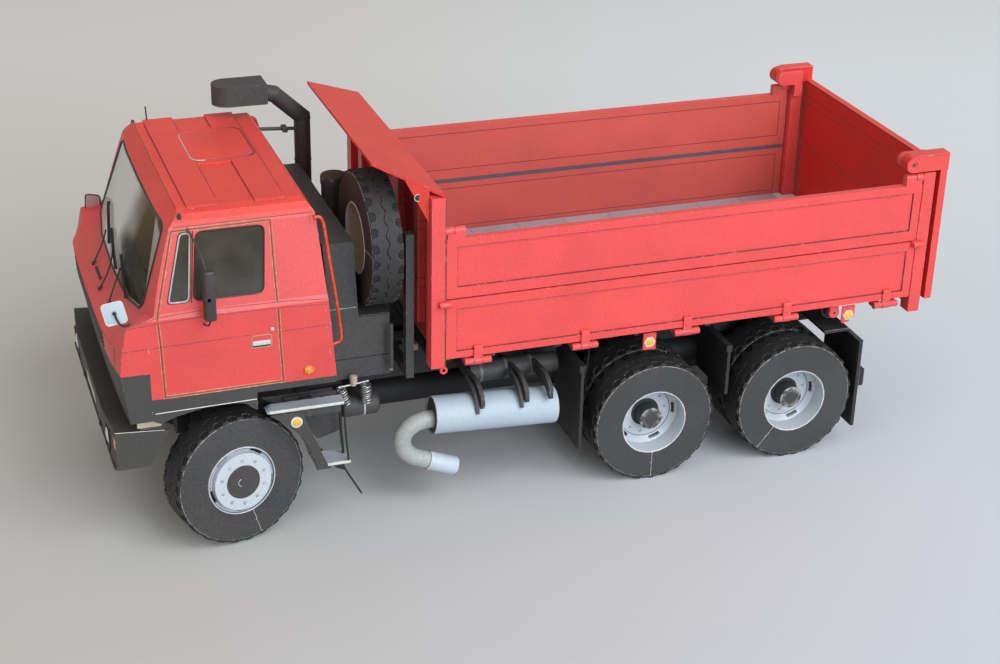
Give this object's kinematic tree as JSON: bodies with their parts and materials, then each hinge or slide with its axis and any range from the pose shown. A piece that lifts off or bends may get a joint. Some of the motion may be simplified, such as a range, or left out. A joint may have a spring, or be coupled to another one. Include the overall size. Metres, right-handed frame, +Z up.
{
  "type": "tipper truck card model",
  "caption": "Card model of a three-axle tipper truck: cab, twin rear wheels, steered front wheels, drop sides, swinging tailgate and a bed that tips on a telescopic hoist.",
  "frame": {"origin": "on the ground, midway along the overall length, on the centre line", "axes": "+X forward, +Y to the left of the truck, +Z up"},
  "size_m": [0.22, 0.088, 0.0978],
  "materials": {
    "red_card": "satin",
    "tyre_card": "matt",
    "rim_card": "satin",
    "black_card": "matt",
    "floor_card": "matt",
    "tan_card": "matt",
    "clear_film": "gloss",
    "grey_card": "matt",
    "white_card": "satin",
    "pipe_card": "matt"
  },
  "bodies": {
    "chassis": {"air_filter": "black_card", "air_intake": "black_card", "air_tank": "black_card", "backbone_tube": "black_card", "bumper": "black_card", "cab_apron": "black_card", "cab_base": "black_card", "cab_front": "red_card", "cab_rear_wall": "red_card", "cab_roof": "red_card", "cab_side_left": "red_card", "cab_side_right": "red_card", "dashboard": "black_card", "engine_block": "black_card", "engine_cover": "black_card", "exhaust_pipe": "pipe_card", "frame_rails": "black_card", "front_axle": "black_card", "fuel_tank": "black_card", "mirrors": "black_card", "mudguards": "black_card", "rear_axles": "black_card", "seats": "tan_card", "side_windows": "clear_film", "silencer": "white_card", "silencer_hooks": "black_card", "spare_carrier": "black_card", "spare_rim": "tan_card", "spare_tyre": "tyre_card", "step_brackets": "black_card", "step_treads": "grey_card", "windscreen": "clear_film"},
    "knuckle_left": {"knuckle_left": "black_card"},
    "knuckle_right": {"knuckle_right": "black_card"},
    "wheel_front_left": {"wheel_front_left_tyre": "tyre_card", "wheel_front_left_rim": "rim_card"},
    "wheel_front_right": {"wheel_front_right_tyre": "tyre_card", "wheel_front_right_rim": "rim_card"},
    "wheel_mid_left": {"wheel_mid_left_tyres": "tyre_card", "wheel_mid_left_rim": "rim_card"},
    "wheel_mid_right": {"wheel_mid_right_tyres": "tyre_card", "wheel_mid_right_rim": "rim_card"},
    "wheel_rear_left": {"wheel_rear_left_tyres": "tyre_card", "wheel_rear_left_rim": "rim_card"},
    "wheel_rear_right": {"wheel_rear_right_tyres": "tyre_card", "wheel_rear_right_rim": "rim_card"},
    "dump_bed": {"bed_floor": "floor_card", "headboard": "red_card", "canopy": "red_card", "rear_posts": "red_card"},
    "board_lower_left": {"side_board_lower_left": "red_card"},
    "board_lower_right": {"side_board_lower_right": "red_card"},
    "board_upper_left": {"side_board_upper_left": "red_card"},
    "board_upper_right": {"side_board_upper_right": "red_card"},
    "tailgate": {"tailgate": "red_card"},
    "hoist_barrel": {"hoist_barrel": "black_card"},
    "hoist_stage_1": {"hoist_stage_1": "black_card"},
    "hoist_stage_2": {"hoist_stage_2": "black_card"},
    "hoist_stage_3": {"hoist_stage_3": "black_card"},
    "hoist_rod": {"hoist_rod": "black_card"}
  },
  "joints": [
    {"name": "steer_left", "type": "hinge", "parent": "chassis", "child": "knuckle_left", "pos_m": [0.08092, 0.0283, 0.017], "axis": [0, 0, 1], "range_deg": [-43.3, 16.7]},
    {"name": "roll_front_left", "type": "hinge", "parent": "knuckle_left", "child": "wheel_front_left", "pos_m": [0.08, 0.03219, 0.0172], "axis": [-0.2298, 0.9719, 0.0506], "continuous": true},
    {"name": "roll_mid_left", "type": "hinge", "parent": "chassis", "child": "wheel_mid_left", "pos_m": [-0.03094, 0.0284, 0.017], "axis": [0, 1, 0], "continuous": true},
    {"name": "roll_rear_left", "type": "hinge", "parent": "chassis", "child": "wheel_rear_left", "pos_m": [-0.07219, 0.0284, 0.017], "axis": [0, 1, 0], "continuous": true},
    {"name": "steer_right", "type": "hinge", "parent": "chassis", "child": "knuckle_right", "pos_m": [0.08092, -0.0283, 0.017], "axis": [0, 0, 1], "range_deg": [-43.3, 16.7]},
    {"name": "roll_front_right", "type": "hinge", "parent": "knuckle_right", "child": "wheel_front_right", "pos_m": [0.08184, -0.03219, 0.0172], "axis": [-0.2298, 0.9719, -0.0506], "continuous": true},
    {"name": "roll_mid_right", "type": "hinge", "parent": "chassis", "child": "wheel_mid_right", "pos_m": [-0.03094, -0.0284, 0.017], "axis": [0, 1, 0], "continuous": true},
    {"name": "roll_rear_right", "type": "hinge", "parent": "chassis", "child": "wheel_rear_right", "pos_m": [-0.07219, -0.0284, 0.017], "axis": [0, 1, 0], "continuous": true},
    {"name": "bed_tilt", "type": "hinge", "parent": "chassis", "child": "dump_bed", "pos_m": [-0.083, 0, 0.0405], "axis": [0, -1, 0], "range_deg": [0, 45]},
    {"name": "tailgate_swing", "type": "hinge", "parent": "dump_bed", "child": "tailgate", "pos_m": [-0.0997, 0, 0.0825], "axis": [0, 1, 0], "range_deg": [0, 90]},
    {"name": "board_lower_left_drop", "type": "hinge", "parent": "dump_bed", "child": "board_lower_left", "pos_m": [0, 0.0393, 0.0432], "axis": [-1, 0, 0], "range_deg": [0, 175]},
    {"name": "board_upper_left_swing", "type": "hinge", "parent": "dump_bed", "child": "board_upper_left", "pos_m": [0, 0.0384, 0.0786], "axis": [1, 0, 0], "range_deg": [0, 90]},
    {"name": "board_lower_right_drop", "type": "hinge", "parent": "dump_bed", "child": "board_lower_right", "pos_m": [0, -0.0393, 0.0432], "axis": [1, 0, 0], "range_deg": [0, 175]},
    {"name": "board_upper_right_swing", "type": "hinge", "parent": "dump_bed", "child": "board_upper_right", "pos_m": [0, -0.0384, 0.0786], "axis": [-1, 0, 0], "range_deg": [0, 90]},
    {"name": "hoist_tilt", "type": "hinge", "parent": "chassis", "child": "hoist_barrel", "pos_m": [-0.02376, 0, 0.031], "axis": [0, -1, 0], "range_deg": [0, 22.51]},
    {"name": "hoist_extend_1", "type": "slide", "parent": "hoist_barrel", "child": "hoist_stage_1", "axis": [0.0794, 0, 0.9968], "range_m": [0, 0.01126]},
    {"name": "hoist_extend_2", "type": "slide", "parent": "hoist_stage_1", "child": "hoist_stage_2", "axis": [0.0794, 0, 0.9968], "range_m": [0, 0.01126]},
    {"name": "hoist_extend_3", "type": "slide", "parent": "hoist_stage_2", "child": "hoist_stage_3", "axis": [0.0794, 0, 0.9968], "range_m": [0, 0.01126]},
    {"name": "hoist_extend_4", "type": "slide", "parent": "hoist_stage_3", "child": "hoist_rod", "axis": [0.0794, 0, 0.9968], "range_m": [0, 0.01126]}
  ],
  "couplings": [
    {"joint": "steer_right", "follows": "steer_left", "ratio": 1},
    {"joint": "hoist_tilt", "follows": "bed_tilt", "ratio": 0.5},
    {"joint": "hoist_extend_1", "follows": "bed_tilt", "m_per_rad": 0.01434},
    {"joint": "hoist_extend_2", "follows": "bed_tilt", "m_per_rad": 0.01434},
    {"joint": "hoist_extend_3", "follows": "bed_tilt", "m_per_rad": 0.01434},
    {"joint": "hoist_extend_4", "follows": "bed_tilt", "m_per_rad": 0.01434}
  ]
}
